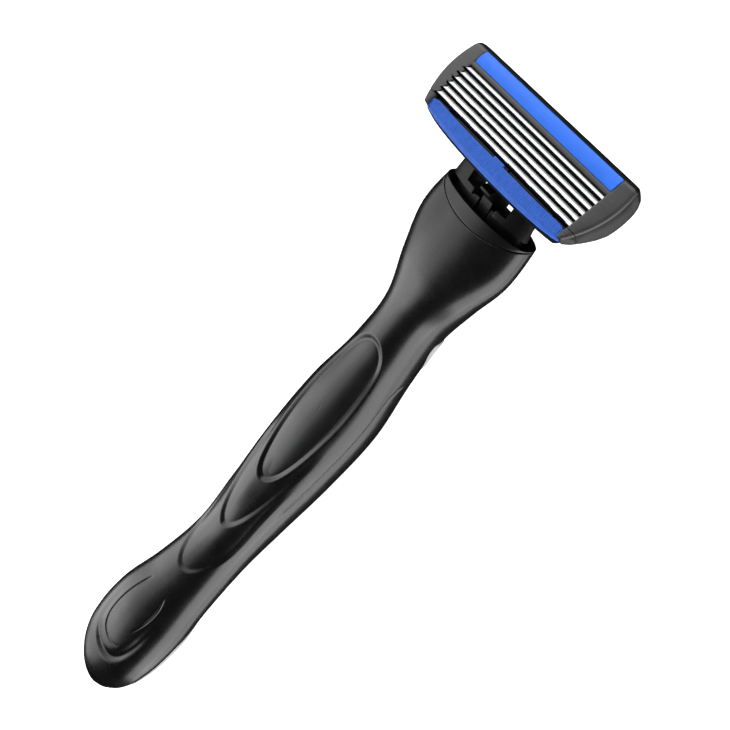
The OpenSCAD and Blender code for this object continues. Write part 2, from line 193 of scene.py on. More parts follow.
VALLEY = outline([(-5.0, -46.5), (-5.6, -50.5), (-5.5, -55), (-4.9, -58.8), (-3.5, -61.6), (-0.6, -62.9),
                  (2.2, -62.6), (4.1, -60.8), (5.2, -57.6), (5.6, -54), (5.5, -50), (4.9, -46)], closed=False)


def sunk(x, y, line, depth, bevel):
    d, _ = near(x, y, line, True)
    s = np.where(inside(x, y, line), d, 0)
    t = np.clip(s / bevel, 0, 1)
    e = 0.12
    ramp = np.where(t < e, t * t / (2 * e), np.where(t > 1 - e, 1 - e - (1 - t) ** 2 / (2 * e), t - e / 2)) / (1 - e)
    return depth * ramp


def stroke(x, y, line, depth, sigma, weight):
    d, k = near(x, y, line, False)
    w = np.interp(k / (len(line) - 1), *np.array(weight).T)
    return depth * w * np.exp(-((d / sigma) ** 2))


DEPTH_A, DEPTH_B, DEPTH_C = 0.5, 0.36, 0.26


def fade_b(y):
    return 1 - step01(-9, 4, y)


def fade_c(y):
    return (0.3 + 0.7 * (1 - step01(-16, -4, y))) * (1 - step01(12, 24, y))


def sculpt(x, y, z):
    """How far the front is pressed in at x, y."""
    d = np.zeros(x.shape)
    m = (y > -12.5) & (y < 25.5)
    d[m] += sunk(x[m], y[m], OVAL_A, DEPTH_A, 0.95)
    m = (y > -26) & (y < 34)
    d[m] += sunk(x[m], y[m], OVAL_B, DEPTH_B, 1.0) * fade_b(y[m])
    m = (y > -39) & (y < 37)
    left = 1 - (1 - step01(-2, 2, x[m])) * step01(-24, -14, y[m])
    d[m] += sunk(x[m], y[m], OVAL_C, DEPTH_C, 1.0) * fade_c(y[m]) * left
    m = y < -41
    xm, ym = x[m], y[m]
    d[m] += stroke(xm, ym, U_LEFT, 0.2, 0.17, [(0, 0.3), (0.06, 1), (0.62, 1), (0.95, 0), (1, 0)])
    d[m] += stroke(xm, ym, U_RIGHT, 0.2, 0.2, [(0, 0.2), (0.1, 1), (0.6, 1), (1, 0)])
    d[m] += stroke(xm, ym, VALLEY, 0.42, 0.85, [(0, 0), (0.3, 0.35), (0.42, 1), (0.8, 1), (1, 0)])
    return d * (z > (val(y, 2) + val(y, 3)) / 2)


# ------------------------------------------------------------------ mesh helpers
def link(me, name, body, mat=None, smooth=True):
    o = bpy.data.objects.new(name, me)
    bpy.context.scene.collection.objects.link(o)
    if smooth:
        me.polygons.foreach_set("use_smooth", [True] * len(me.polygons))
    if mat is not None:
        me.materials.append(mat)
    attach(o, body)
    return o


def new_mesh(name, verts_mm, faces, weld=1e-6):
    me = bpy.data.meshes.new(name)
    me.from_pydata((np.asarray(verts_mm, float) * 0.001).tolist(), [], faces)
    bm = bmesh.new()
    bm.from_mesh(me)
    if weld:
        bmesh.ops.remove_doubles(bm, verts=bm.verts, dist=weld)
    bmesh.ops.dissolve_degenerate(bm, edges=bm.edges, dist=1e-7)
    bmesh.ops.recalc_face_normals(bm, faces=bm.faces)
    bm.to_mesh(me)
    bm.free()
    return me


def grid_faces(n, m, start=0, wrap_v=False, flip=False):
    f = []
    for i in range(n - 1):
        for j in range(m if wrap_v else m - 1):
            a, b = start + i * m + j, start + i * m + (j + 1) % m
            c, d = a + m, b + m
            f.append((a, b, d, c) if not flip else (a, c, d, b))
    return f


def shell(name, P, thick, body, mat, wrap_v=False, clamp=True):
    """A closed shell from a grid of outer points (mm): the inner skin is thick below it."""
    n, m = P.shape[:2]
    if wrap_v:
        Q = np.concatenate([P[:, -1:], P, P[:, :1]], 1)
        nn = normals(Q)[:, 1:-1]
    else:
        nn = normals(P)
    inner = P - nn * (thick if np.isscalar(thick) else thick[..., None])
    V = np.concatenate([P.reshape(-1, 3), inner.reshape(-1, 3)])
    if clamp:
        V[:, 2] = np.maximum(V[:, 2], 0.0)
    k = n * m
    faces = grid_faces(n, m, 0, wrap_v) + grid_faces(n, m, k, wrap_v, True)
    cols = m if wrap_v else m - 1
    for j in range(cols):
        a, b = j, (j + 1) % m
        faces.append((a, k + a, k + b, b))
        a, b = (n - 1) * m + j, (n - 1) * m + (j + 1) % m
        faces.append((a, b, k + b, k + a))
    if not wrap_v:
        for i in range(n - 1):
            a, b = i * m, (i + 1) * m
            faces.append((a, b, k + b, k + a))
            a, b = i * m + m - 1, (i + 1) * m + m - 1
            faces.append((a, k + a, k + b, b))
    return link(new_mesh(name, V, faces), name, body, mat)


def fractions(n, edge=(0.0, 0.0015, 0.004, 0.008)):
    """Even shares with a few close ones at both ends, for a rolled edge."""
    e = np.array(edge)
    mid = np.linspace(edge[-1], 1 - edge[-1], n)
    return np.unique(np.r_[e, mid, 1 - e])


def rolled(dist, r=0.35, drop=0.14):
    """Extra depth close to an edge, so that the rim is rounded over."""
    t = np.clip(1 - dist / r, 0, 1)
    return drop * (1 - np.sqrt(np.maximum(0, 1 - t * t)))


def arc_dist(P, axis):
    seg = np.linalg.norm(np.diff(P, axis=axis), axis=-1)
    z = np.zeros_like(np.take(seg, [0], axis=axis))
    a = np.concatenate([z, np.cumsum(seg, axis=axis)], axis=axis)
    total = np.take(a, [-1], axis=axis)
    return a, total - a


# ------------------------------------------------------------------ materials
def material(name, color, rough, coat=0.0, coat_rough=0.3, specular=0.5, metallic=0.0,
             grain=9000, grain_bump=0.04, mottle=300, vary=0.12, rough_vary=0.05, sheen=0.0,
             streak=None, painted_crease_shade_and_ridge_highlight=0.0, subsurface=0.0, ior=1.5, scratch=0.0, aniso=0.0):
    m = bpy.data.materials.new(name)
    m.use_nodes = True
    nt = m.node_tree
    b = nt.nodes["Principled BSDF"]
    b.inputs["Metallic"].default_value = metallic
    b.inputs["IOR"].default_value = ior
    b.inputs["Specular IOR Level"].default_value = specular
    b.inputs["Coat Weight"].default_value = coat
    b.inputs["Coat Roughness"].default_value = coat_rough
    b.inputs["Sheen Weight"].default_value = sheen
    b.inputs["Anisotropic"].default_value = aniso
    if subsurface:
        b.inputs["Subsurface Weight"].default_value = subsurface
        b.inputs["Subsurface Scale"].default_value = 0.0006
    tc = nt.nodes.new("ShaderNodeTexCoord")
    mp = nt.nodes.new("ShaderNodeMapping")
    if streak:
        mp.inputs["Scale"].default_value = streak
    nt.links.new(tc.outputs["Object"], mp.inputs["Vector"])
    big = nt.nodes.new("ShaderNodeTexNoise")
    big.inputs["Scale"].default_value = mottle
    big.inputs["Detail"].default_value = 3
    nt.links.new(mp.outputs["Vector"], big.inputs["Vector"])
    fine = nt.nodes.new("ShaderNodeTexNoise")
    fine.inputs["Scale"].default_value = grain
    fine.inputs["Detail"].default_value = 2
    nt.links.new(mp.outputs["Vector"], fine.inputs["Vector"])
    ramp = nt.nodes.new("ShaderNodeMapRange")
    ramp.inputs["From Min"].default_value = 0.3
    ramp.inputs["From Max"].default_value = 0.7
    ramp.inputs["To Min"].default_value = 1 - vary
    ramp.inputs["To Max"].default_value = 1 + vary
    nt.links.new(big.outputs["Fac"], ramp.inputs["Value"])
    base = nt.nodes.new("ShaderNodeMix")
    base.data_type = "RGBA"
    base.blend_type = "MULTIPLY"
    base.inputs["Factor"].default_value = 1
    base.inputs[6].default_value = (*color, 1)
    nt.links.new(ramp.outputs["Result"], base.inputs[7])
    last = base.outputs[2]
    # painted shade and painted highlight: the base colour is darkened in concave creases and brightened on convex
    # ridges, following the surface's pointiness
    if painted_crease_shade_and_ridge_highlight:
        geo = nt.nodes.new("ShaderNodeNewGeometry")
        er = nt.nodes.new("ShaderNodeMapRange")
        er.inputs["From Min"].default_value = 0.46
        er.inputs["From Max"].default_value = 0.54
        er.inputs["To Min"].default_value = 1 - painted_crease_shade_and_ridge_highlight
        er.inputs["To Max"].default_value = 1 + painted_crease_shade_and_ridge_highlight
        nt.links.new(geo.outputs["Pointiness"], er.inputs["Value"])
        mx = nt.nodes.new("ShaderNodeMix")
        mx.data_type = "RGBA"
        mx.blend_type = "MULTIPLY"
        mx.inputs["Factor"].default_value = 1
        nt.links.new(last, mx.inputs[6])
        nt.links.new(er.outputs["Result"], mx.inputs[7])
        last = mx.outputs[2]
    nt.links.new(last, b.inputs["Base Color"])
    rr = nt.nodes.new("ShaderNodeMapRange")
    rr.inputs["To Min"].default_value = max(0.02, rough - rough_vary)
    rr.inputs["To Max"].default_value = rough + rough_vary
    nt.links.new(big.outputs["Fac"], rr.inputs["Value"])
    nt.links.new(rr.outputs["Result"], b.inputs["Roughness"])
    bump = nt.nodes.new("ShaderNodeBump")
    bump.inputs["Strength"].default_value = grain_bump
    bump.inputs["Distance"].default_value = 0.00003
    nt.links.new(fine.outputs["Fac"], bump.inputs["Height"])
    nt.links.new(bump.outputs["Normal"], b.inputs["Normal"])
    return m


M = {}
M["handle"] = material("handle_black_satin", (0.0035, 0.0035, 0.0037), 0.27, vary=0.1, grain_bump=0.07, painted_crease_shade_and_ridge_highlight=0.15)
M["pad"] = material("pad_black_elastomer", (0.0045, 0.0045, 0.0047), 0.32, vary=0.1, grain_bump=0.1)
M["rear"] = material("rear_black_satin", (0.006, 0.006, 0.0063), 0.32, vary=0.1, grain_bump=0.25)
M["inlay"] = material("inlay_grey_elastomer", (0.27, 0.275, 0.28), 0.5, vary=0.05, grain_bump=0.5, grain=5000)
M["collar"] = material("collar_black_satin", (0.004, 0.004, 0.0042), 0.30, vary=0.1, grain_bump=0.07)
# black of the mechanism parts; also painted shade on the collar's mouth wall and in the gap behind the guard
M["mech"] = material("mechanism_black_and_painted_shade", (0.002, 0.002, 0.0021), 0.36, specular=0.2, vary=0.2, grain_bump=0.5, mottle=500)
M["button"] = material("button_grey_satin", (0.05, 0.05, 0.052), 0.42, vary=0.1, grain_bump=0.4)
M["frame"] = material("frame_grey_satin", (0.030, 0.030, 0.0305), 0.42, specular=0.4, vary=0.08, grain_bump=0.45, mottle=450, painted_crease_shade_and_ridge_highlight=0.2)
# a darker, less glossy copy of the frame grey: painted shade on the end caps' flanks
M["frame_side"] = material("frame_side_satin", (0.014, 0.014, 0.0143), 0.45, specular=0.25, vary=0.08, grain_bump=0.45, mottle=450)
# a dark copy of the frame grey: painted shade on the cap's rear band and in the comb notches; the guard frame is drawn
# in it too
M["frame_dark"] = material("frame_dark_painted_shade", (0.004, 0.004, 0.0042), 0.42, specular=0.15, vary=0.1, grain_bump=0.4)
M["guard"] = material("guard_blue_elastomer", (0.032, 0.118, 0.52), 0.5, specular=0.2, vary=0.1, grain_bump=0.4, mottle=900)
M["strip"] = material("strip_blue_waxy", (0.026, 0.165, 0.80), 0.42, specular=0.2, vary=0.05, grain_bump=0.35, grain=6000, subsurface=0.15)
M["blade"] = material("blade_honed_steel", (0.31, 0.315, 0.32), 0.2, metallic=1.0, vary=0.04, grain_bump=0.02, streak=(0.03, 1, 1), rough_vary=0.05)
# a darker copy of the blade steel: painted shade on the flat behind the honed facet
M["flat"] = material("blade_flat_steel", (0.17, 0.17, 0.172), 0.28, metallic=1.0, vary=0.06, grain_bump=0.02, streak=(0.03, 1, 1), rough_vary=0.05)
# black and near matte: painted shade that fills the slots between the blades
M["support"] = material("support_black_slot_shade", (0.004, 0.004, 0.0042), 0.45, specular=0.12, vary=0.1, grain_bump=0.4, streak=(0.1, 1, 1))
M["spring"] = material("spring_drawn_wire", (0.6, 0.6, 0.62), 0.3, metallic=1.0, vary=0.1, grain_bump=0.3)

CAD_LOOK = {
    "mechanism_chassis": "mech", "plunger": "mech", "plunger_spring": "spring", "release_button": "button",
    "button_spring": "spring", "ejector_fork": "mech", "connector_yoke": "mech", "cap_frame": "frame",
    "guard_frame": "frame_dark", "guard_strip": "guard", "lubricating_strip": "strip",
    "handle_front_shell": "handle", "handle_rear_shell": "rear", "rear_grip_inlay": "inlay",
    "thumb_pad": "pad", "head_collar": "collar"}
for i in range(1, 7):
    CAD_LOOK["blade_%d" % i] = "blade"
    CAD_LOOK["blade_support_%d" % i] = "support"
for n, o in N.items():
    o.data.materials.clear()
    o.data.materials.append(M[CAD_LOOK[n]])


def soften(node, width_mm, segments=2, angle=35):
    """Rounded edges on a CAD node, from modifiers alone."""
    o = N[node]
    w = o.modifiers.new("weld", "WELD")
    w.merge_threshold = 2e-6
    b = o.modifiers.new("bevel", "BEVEL")
    b.width = width_mm * 0.001
    b.segments = segments
    b.limit_method = "ANGLE"
    b.angle_limit = math.radians(angle)
    b.harden_normals = False
    s = o.modifiers.new("normals", "WEIGHTED_NORMAL")
    s.keep_sharp = False


# ------------------------------------------------------------------ handle pieces
def column_ends(Qtab, ys, y_of):
    """For each column, the y at which it meets the slanting line y_of(x, z)."""
    m = Qtab.shape[1]
    end = np.full(m, 52.0)
    for _ in range(30):
        q = np.array([np.interp(end[j], ys, Qtab[:, j]) for j in range(m)])
        p = surf(end, q)
        end = 0.5 * end + 0.5 * y_of(p[:, 0], p[:, 2])
    return end


def collar_line(x, z):
    return 50.8 + 0.5 * (17.8 - z) + 0.017 * x * x


def rim_line(x, z):
    return 53.25 + 0.3 * (17.8 - z) + 0.002 * x * x + 0.12 * np.maximum(0, 16 - z)


def body_grid(qa, qb, frac, start, stop_y, y_of, gap=0.05, dy=0.22, rows_end=36):
    """Outer points of a skin from the tail to a slanting line, between two angles."""
    ty = np.arange(start, 61.0, 0.5)
    ty = np.r_[ty, 61.0]
    T = table(ty, qa(ty), qb(ty), frac)
    end = column_ends(T, ty, y_of) - gap
    ys = np.arange(start, stop_y, dy)
    if start < -70:
        ys = np.unique(np.r_[start, start + 0.03, start + 0.08, start + 0.14, ys])
    m = len(frac)
    Y = np.empty((len(ys) + rows_end, m))
    Y[:len(ys)] = ys[:, None]
    s = np.arange(1, rows_end + 1) / rows_end
    s = 1 - (1 - s) ** 1.15
    Y[len(ys):] = stop_y + (end[None, :] - stop_y) * s[:, None]
    Q = np.empty_like(Y)
    for j in range(m):
        Q[:, j] = np.interp(Y[:, j], ty, T[:, j])
    return surf(Y, Q), Y, Q


def press(P, depth):
    return P - normals(P) * depth[..., None]


# front skin, from one parting line over the top to the other
frac = fractions(176)
P, Y, Q = body_grid(lambda y: q_front(y), lambda y: np.pi - q_front(y), frac, Y0, 44.0, collar_line)
d = sculpt(P[..., 0], P[..., 1], P[..., 2])
# fine line along each flank of the grip
line_z = np.interp(P[..., 1], [-16, -12, 10, 15, 18, 20, 21.5], [8.52, 8.48, 8.58, 8.58, 8.45, 7.95, 7.3])
on = step01(-16, -12, P[..., 1]) * (1 - step01(20, 21.5, P[..., 1])) * (np.abs(P[..., 0]) > 0.8 * val(P[..., 1], 1))
d = d + 0.2 * on * np.exp(-(((P[..., 2] - line_z) / 0.18) ** 2))
a0, a1 = arc_dist(P, 1)
side = np.minimum(a0, a1)
b0, b1 = arc_dist(P, 0)
wide = step01(Y0 + 1.5, Y0 + 5, P[..., 1])
d = d + rolled(side) * wide + rolled(b1, 0.16, 0.1)
P = press(P, d)
front = shell("handle_front_skin", P, 0.9, "handle", M["handle"])
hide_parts("handle_front_shell")

# rear skin, round the back, with the recess that holds the inlay
nb = fractions(120)
P, Y, Q = body_grid(lambda y: -np.pi - q_front(y) + 0.004, lambda y: q_front(y) - 0.004, nb, Y0, 44.0, collar_line, rows_end=30)
share = np.abs(P[..., 0]) / np.maximum(val(Y, 1), 0.05)
lim = np.where((Y > -71.8) & (Y < 33.4), inlay_share(Y), 0)
edge_mm = (lim - share) * val(Y, 1)
depth = 1.15 * step01(-0.02, 0.12, edge_mm)
a0, a1 = arc_dist(P, 1)
_, b1 = arc_dist(P, 0)
d = depth + rolled(np.minimum(a0, a1)) * step01(Y0 + 1.5, Y0 + 5, Y) + rolled(b1, 0.16, 0.1)
P = press(P, d)
rear = shell("handle_rear_skin", P, 0.6, "handle", M["rear"])
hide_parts("handle_rear_shell")

# inlay along the back
ys = np.r_[-71.75, -71.6, -71.3, np.arange(-71, 32.4, 0.35), 32.6, 32.9, 33.15, 33.3]
fr = fractions(80)
sh = inlay_share(ys) - 0.06 / np.maximum(val(ys, 1), 0.5)
qe = -angle_of_share(np.maximum(sh, 0.02))
T = table(ys, -np.pi - qe, qe, fr)
Y = np.repeat(ys[:, None], len(fr), 1)
P = surf(Y, T)
a0, a1 = arc_dist(P, 1)
b0, b1 = arc_dist(P, 0)
d = rolled(np.minimum(a0, a1), 0.5, 0.25) + rolled(np.minimum(b0, b1), 0.6, 0.3) + 0.02
# fine cross ribs on the belly for grip
rib = 0.5 + 0.5 * np.cos(2 * np.pi * P[..., 1] / 1.9)
patch = (1 - step01(0.55, 0.8, np.abs(P[..., 0]) / np.maximum(0.56 * val(Y, 1), 0.1))) * step01(-34, -30, Y) * (1 - step01(10, 14, Y))
d = d + 0.16 * rib**2 * patch
raised = 0.3 * (step01(22, 26, P[..., 1]) * (1 - step01(31.5, 33.2, P[..., 1])) + step01(-68.5, -64, P[..., 1]) * (1 - step01(-46, -41, P[..., 1])))
edge_in = np.minimum(a0, a1)
d = d - raised * step01(0.05, 0.5, edge_in) * (1 - step01(2.2, 3.4, edge_in))
P = press(P, d)
inlay = shell("rear_inlay_skin", P, 0.7, "handle", M["inlay"])
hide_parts("rear_grip_inlay")

# thumb pad: a low cushion that fills the floor of the first oval
PAD = outline(mirrored([(0, 24.0), (1.9, 23.3), (3.4, 21.1), (4.45, 16.8), (4.9, 9.5), (4.6, 3.0),
                        (3.9, -3.0), (2.8, -7.4), (1.5, -9.8), (0, -10.7)]))
rings = np.r_[0, 0.012, 0.03, 0.055, 0.09, np.linspace(0.14, 1, 26)]
centre = np.array([0.0, 7.5])
G = np.empty((len(rings), len(PAD), 3))
for i, r in enumerate(rings):
    xy = centre + (PAD - centre) * (1 - r * 0.999)
    w, zt, zb = val(xy[:, 1], 1), val(xy[:, 1], 2), val(xy[:, 1], 3)
    c, h = (zt + zb) / 2, (zt - zb) / 2
    z = c + h * np.maximum(0, 1 - (np.abs(xy[:, 0]) / w) ** POWER) ** (1 / POWER)
    G[i] = np.c_[xy, z]
nrm = normals(np.concatenate([G[:, -1:], G, G[:, :1]], 1))[:, 1:-1]
total = DEPTH_A + DEPTH_B + DEPTH_C
x, y = G[..., 0], G[..., 1]
floor = DEPTH_A + DEPTH_B * fade_b(y) + DEPTH_C * fade_c(y)
rr = rings[:, None] * 5.0
crown = floor - 0.05 + 0.12 * (1 - np.sqrt(np.clip(1 - np.clip(1 - rr / 0.5, 0, 1) ** 2, 0, 1))) - 0.06 * (1 - (1 - rings[:, None]) ** 2)
G = G - nrm * crown[..., None] * np.where(nrm[..., 2:3] < 0, -1, 1)
pad = shell("thumb_pad_skin", G, 0.35, "handle", M["pad"], wrap_v=True)
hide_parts("thumb_pad")

# collar: the outer ring, its rounded lip and the wall of the mouth
nq = 240
qq = np.linspace(0, 2 * np.pi, nq + 1)[:-1]
ty = np.arange(44, 61.5, 0.25)
u = np.linspace(0, 2 * np.pi, 900)
T = np.empty((len(ty), nq))
for i, yv in enumerate(ty):
    p = surf(np.full(900, yv), u)
    L = np.r_[0, np.cumsum(np.linalg.norm(np.diff(p, axis=0), axis=1))]
    T[i] = np.interp(qq / (2 * np.pi) * L[-1], L, u)
lo_end = column_ends(T, ty, collar_line) + 0.05
hi_end = column_ends(T, ty, rim_line)
rows = []
def ring_at(yv, depth):
    q = np.array([np.interp(yv[j], ty, T[:, j]) for j in range(nq)])
    p = surf(yv, q)
    e = 1e-3
    pq = surf(yv, q + e) - p
    py = surf(yv + e, q) - p
    n = np.cross(py, pq)
    n /= np.linalg.norm(n, axis=-1, keepdims=True)
    n *= np.where((n[:, 0] * p[:, 0] + n[:, 2] * (p[:, 2] - 14)) < 0, -1, 1)[:, None]
    return p - n * depth
rows.append(ring_at(lo_end, 1.1))
rows.append(ring_at(lo_end, 0.25))
rows.append(ring_at(lo_end + 0.01, 0.07))
rows.append(ring_at(lo_end + 0.05, 0.02))
rows.append(ring_at(lo_end + 0.12, 0.002))
for s in np.linspace(0.12, 1, 12):
    rows.append(ring_at(lo_end + 0.2 + (hi_end - 0.14 - lo_end - 0.2) * s, 0.0))
for a in np.linspace(15, 90, 6):
    rows.append(ring_at(hi_end - 0.14 + 0.14 * math.sin(math.radians(a)), 0.14 * (1 - math.cos(math.radians(a)))))
n_outer = len(rows)
rows.append(ring_at(hi_end - 0.02, 0.9))
rows.append(ring_at(hi_end - 0.1, 1.15))
for s in np.linspace(0.3, 7, 12):
    rows.append(ring_at(hi_end - s, 1.25 - 0.04 * s))
P = np.array(rows)
k = len(rows)
V = P.reshape(-1, 3)
F = grid_faces(k, nq, 0, True)
for j in range(nq):
    F.append(((k - 1) * nq + j, (k - 1) * nq + (j + 1) % nq, (j + 1) % nq, j))
me = new_mesh("head_collar_skin", V, F, weld=0)
collar = link(me, "head_collar_skin", "handle", M["collar"])
# the wall of the mouth takes the low-gloss mechanism black, darker than the collar: painted shade inside the mouth
me.materials.append(M["mech"])
for f in me.polygons:
    if sum(v // nq >= n_outer - 1 for v in f.vertices) == len(f.vertices):
        f.material_index = 1
me.set_sharp_from_angle(angle=math.radians(50))
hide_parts("head_collar")

# ------------------------------------------------------------------ cartridge and mechanism
C17, S17 = math.cos(math.radians(17)), math.sin(math.radians(17))


def face(x, u, n):
    """From the cartridge face's own directions to the row frame, in mm."""
    x, u, n = np.broadcast_arrays(x, u, n)
    return np.stack([x, 65.74 + u * C17 + n * S17, 22.4 - u * S17 + n * C17], -1)


def loft(sections, cap=True):
    """Points and faces of a closed tube through sections (rows, columns, 3)."""
    P = np.asarray(sections, float)
    r, c = P.shape[:2]
    F = grid_faces(r, c, 0, True)
    if cap:
        F.append(tuple(range(c)))
        F.append(tuple((r - 1) * c + j for j in reversed(range(c))))
    return P.reshape(-1, 3), F


def joined(parts):
    V, F, k = [], [], 0
    for v, f in parts:
        V.append(v)
        F += [tuple(k + i for i in q) for q in f]
        k += len(v)
    return np.concatenate(V), F


def build(name, parts, body, mats, pick=None, angle=32):
    """One object from several closed tubes; pick(centre in mm) gives a face's material."""
    V, F = joined(parts)
    me = new_mesh(name, V, F, weld=0)
    o = link(me, name, body, None)
    for m in mats:
        me.materials.append(m)
    if pick is not None:
        for p in me.polygons:
            p.material_index = pick(p.center * 1000)
    me.set_sharp_from_angle(angle=math.radians(angle))
    return o


def end_x(u):
    return 20.4 - 0.034 * (u - 3.2) ** 2


def top_n(u):
    t = np.clip((u - 6.7) / 1.6, 0, 1)
    return -2.0 * (1 - np.sqrt(1 - t * t))


EDGE, PITCH, TILT = -3.05, 1.2, math.radians(25)


def end_section(u, side, notched):
    """The closed outline of an end cap at u."""
    nt = float(top_n(u))
    D = float(np.interp(u, [-5.6, -5.4, -5.0, -4.4, -3.5, -1, 0.8, 5.8, 6.9, 7.9, 8.3], [1.9, 2.4, 2.9, 3.4, 3.8, 4.9, 5.5, 5.5, 5.2, 4.2, 3.4]))
    xe = float(end_x(u))
    if u > 5.8:
        xe = min(xe, 17.8 + math.sqrt(max(0.0, 2.7**2 - (u - 5.8) ** 2)))
    xi = 17.02 if u < 7.26 else 16.9
    w = ((u - EDGE) % PITCH) / PITCH
    gap = notched and -3.4 < u < 3.75 and (0.66 < w < 0.97 or u < EDGE - 0.05)
    fall = -0.75 if gap else 0.0
    reach = 0.5 + 0.35 * math.sin(3.1 * u) ** 2
    pts = [(xi, nt - 0.95), (xi, nt - 0.12 + fall), (xi + 0.04, nt - 0.04 + fall), (xi + 0.12, nt - 0.005 + fall),
           (xi + reach * 0.5, nt + fall), (xi + reach - 0.02, nt + fall), (xi + reach, nt)]
    x0 = xi + reach + 0.05
    crown = 0.05 * float(step01(-5.5, 0, u))
    for t in np.linspace(0, 1, 9):
        x = x0 + (xe - 0.62 - x0) * t
        pts.append((x, nt - crown * t * t))
    pts += [(xe - 0.42, nt - crown - 0.03), (xe - 0.26, nt - crown - 0.09), (xe - 0.14, nt - crown - 0.17),
            (xe - 0.06, nt - crown - 0.27), (xe - 0.02, nt - crown - 0.38), (xe - 0.03, nt - crown - 0.5)]
    n0, n1 = nt - crown - 0.6, -D
    scoop = 0.75 * float(step01(-5.4, -1.0, u)) * (1 - float(step01(6.2, 7.8, u)))
    for t in np.linspace(0, 1, 16):
        pts.append((xe - 0.05 - scoop * math.sin(math.pi * min(1, t * 1.15)) ** 0.8 * (1 - 0.3 * t) - 0.28 * t * t,
                    n0 + (n1 + 0.3 - n0) * t))
    x1 = pts[-1][0]
    pts += [(x1 - 0.1, n1 + 0.12), (x1 - 0.3, n1), (xi + 0.5, n1), (xi + 0.12, n1), (xi, n1 + 0.12)]
    a = np.array(pts)
    return face(side * a[:, 0], u, a[:, 1])


def span(profile, xs):
    a = np.array(profile)
    return np.array([face(np.full(len(a), x), a[:, 0], a[:, 1]) for x in xs])


rows_cap = np.unique(np.r_[-3.43, -3.425, -3.41, np.arange(-3.38, 3.8, 0.04), np.arange(3.8, 6.6, 0.2), np.arange(6.6, 8.2, 0.08), 8.22, 8.27, 8.3])
BAR = [(3.83, -0.1), (3.87, -0.03), (3.95, 0.0), (4.2, 0.01), (4.48, 0.0), (4.55, -0.03), (4.58, -0.1), (4.58, -1.27), (5.1, -2.2),
       (5.1, -5.4), (5.0, -5.5), (4.76, -5.5), (4.68, -5.4), (4.67, -4.05), (4.32, -3.95), (4.32, -0.42), (3.83, -0.36)]
PLATE = [(4.57, -1.27), (7.3, -1.27), (7.3, -2.2), (5.0, -2.2)]
ub = np.linspace(7.29, 8.3, 12)
BAND = [(7.27, -4.9), (7.27, -0.32)] + [(float(u_), float(top_n(u_))) for u_ in ub] + [
    (8.33, -2.1), (8.33, -2.6), (8.3, -3.0), (8.2, -3.6), (7.95, -4.25), (7.6, -4.75), (7.35, -5.0)]
parts = [loft([end_section(u_, 1, False) for u_ in rows_cap]), loft([end_section(u_, -1, True) for u_ in rows_cap]),
         loft(span(BAR, np.linspace(-17.1, 17.1, 30))), loft(span(PLATE, [-17.1, 17.1])),
         loft(span(BAND, np.linspace(-17.0, 17.0, 30)))]


def to_face(c):
    y, z = c[1] - 65.74, c[2] - 22.4
    return c[0], y * C17 - z * S17, y * S17 + z * C17


def pick_cap(c):
    x, u, n = to_face(c)
    # painted shade: the cap's rear band, and the floors and inner walls of the comb notches, take the dark copy of the
    # frame grey
    if u > 7.28:
        return 1
    if abs(x) < 17.95 and -3.45 < u < 3.8 and n < -0.06:
        return 1
    return pick_flank_shade(c)


def pick_flank_shade(c):
    """The hollowed flank below the end cap's rounded ridge, which takes the darker copy of the frame grey as painted
    shade.
    """
    x, u, n = to_face(c)
    ridge = top_n(u) - 0.75 - 0.55 * float(step01(-4.5, 4, u)) * (1 - float(step01(5.5, 8, u)))
    return 2 if abs(x) > 18.4 and n < ridge else 0


cap = build("cap_frame_skin", parts, "cartridge", [M["frame"], M["frame_dark"], M["frame_side"]], pick_cap)
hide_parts("cap_frame")

# corners of the lower frame that carry the end caps' line on to the guard
rows_corner = np.r_[-5.5, -5.47, -5.4, np.arange(-5.3, -3.68, 0.12), -3.6, -3.57, -3.555]
parts = []
for side in (1, -1):
    secs = []
    for u_ in rows_corner:
        sec = end_section(u_, side, False)
        e = max(0.0, (-5.3 - u_) / 0.2)
        mid = face(side * 17.7, u_, -1.7)
        secs.append(mid + (sec - mid) * (1 - 0.45 * e * e))
    parts.append(loft(secs))
corner = build("guard_corner_skin", parts, "cartridge", [M["frame"], M["frame_dark"], M["frame_side"]], pick_flank_shade)

me = N["guard_frame"].data.copy()
me.name = "guard_frame_skin"
bm = bmesh.new()
bm.from_mesh(me)
bmesh.ops.remove_doubles(bm, verts=bm.verts, dist=2e-6)
for sx in (1, -1):
    r = bmesh.ops.bisect_plane(bm, geom=bm.verts[:] + bm.edges[:] + bm.faces[:], dist=1e-7,
                               plane_co=(sx * 0.01725, 0, 0), plane_no=(sx, 0, 0), clear_outer=True)
    cut = [g for g in r["geom_cut"] if isinstance(g, bmesh.types.BMEdge)]
    bmesh.ops.holes_fill(bm, edges=cut, sides=0)
    corner_at = Vector([float(v) * 0.001 for v in face(sx * 17.25, -5.45, -2.1)])
    slant = Vector((sx * 0.7, -0.45 * C17 - 0.55 * S17, 0.45 * S17 - 0.55 * C17)).normalized()
    r = bmesh.ops.bisect_plane(bm, geom=bm.verts[:] + bm.edges[:] + bm.faces[:], dist=1e-7,
                               plane_co=corner_at, plane_no=slant, clear_outer=True)
    cut = [g for g in r["geom_cut"] if isinstance(g, bmesh.types.BMEdge)]
    bmesh.ops.holes_fill(bm, edges=cut, sides=0)
bmesh.ops.recalc_face_normals(bm, faces=bm.faces)
bm.to_mesh(me)
bm.free()
lower = bpy.data.objects.new("guard_frame_skin", me)
bpy.context.scene.collection.objects.link(lower)
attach(lower, "cartridge")
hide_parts("guard_frame")
bv = lower.modifiers.new("bevel", "BEVEL")
bv.width = 0.00008
bv.segments = 2
bv.limit_method = "ANGLE"
bv.angle_limit = math.radians(35)
lower.modifiers.new("normals", "WEIGHTED_NORMAL")

